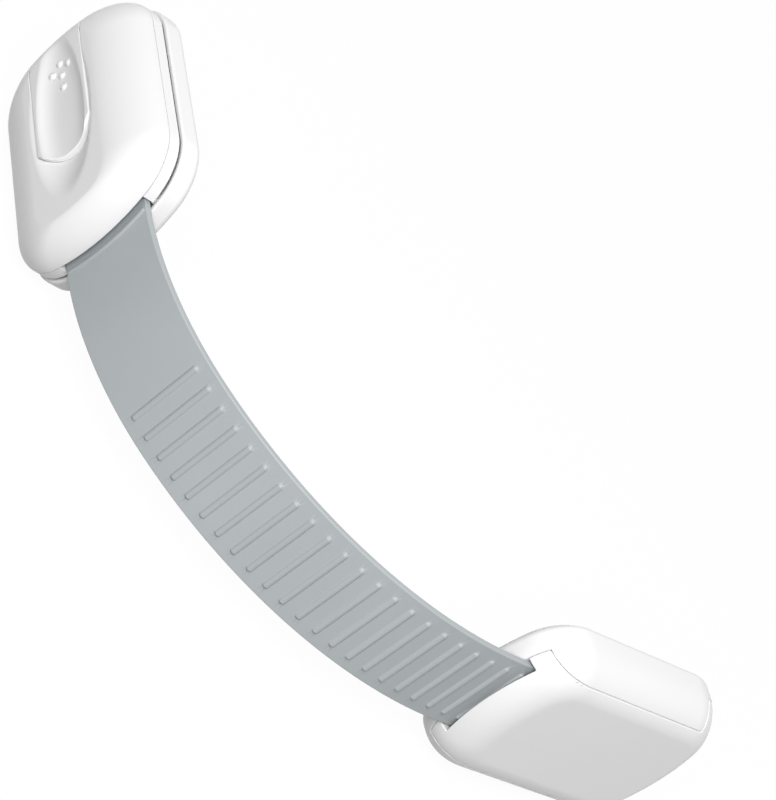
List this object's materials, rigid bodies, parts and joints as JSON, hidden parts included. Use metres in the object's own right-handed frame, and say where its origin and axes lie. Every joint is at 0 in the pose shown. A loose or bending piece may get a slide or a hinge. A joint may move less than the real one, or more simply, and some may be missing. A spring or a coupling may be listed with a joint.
{
  "type": "cabinet safety lock",
  "caption": "Adhesive child safety lock for cabinet doors: a thumb-release head and a hinged-lid strap adjuster joined by a flexible ribbed strap that bends round a corner.",
  "frame": {"origin": "centre of the adjuster's adhesive face", "axes": "+Y out of the adjuster's adhesive face into the surface it sticks to, +X along the adjuster from its strap slot to its far end, +Z across the width of the strap"},
  "size_m": [0.1444, 0.1367, 0.0418],
  "materials": {
    "white_plastic": "moulded, softly glossy",
    "grey_elastomer": "moulded, satin",
    "foam_tape": "matt foam with adhesive",
    "spring_steel": "bright rolled"
  },
  "bodies": {
    "adjuster": {"adjuster_base": "white_plastic", "adjuster_tape": "foam_tape", "hinge_pin": "spring_steel"},
    "lid": {"adjuster_lid": "white_plastic"},
    "strap": {"strap": "grey_elastomer"},
    "head": {"head_floor": "white_plastic", "head_cover": "white_plastic", "latch_spring": "spring_steel"},
    "button": {"release_button": "white_plastic"},
    "release": {"release_base": "white_plastic", "release_tape": "foam_tape"}
  },
  "joints": [
    {"name": "lid_hinge", "type": "hinge", "parent": "adjuster", "child": "lid", "pos_m": [0.02565, -0.0066, 0], "axis": [0, 0, 1], "range_deg": [0, 60]},
    {"name": "strap_adjust", "type": "slide", "parent": "adjuster", "child": "strap", "axis": [-1, 0, 0], "range_m": [0, 0.02556]},
    {"name": "strap_flex", "type": "hinge", "parent": "strap", "child": "head", "pos_m": [-0.0854, 0.01988, 0], "axis": [0, 0, 1], "range_deg": [-20, 50], "stiffness_Nm_per_rad": 0.003, "deforming": ["strap"]},
    {"name": "button_slide", "type": "slide", "parent": "head", "child": "button", "axis": [0.1045, 0.9945, 0], "range_m": [0, 0.0035], "stiffness_N_per_m": 800, "deforming": ["latch_spring"]},
    {"name": "release_lift", "type": "slide", "parent": "head", "child": "release", "axis": [0.9945, -0.1045, 0], "range_m": [0, 0.03], "deforming": ["latch_spring"]}
  ]
}
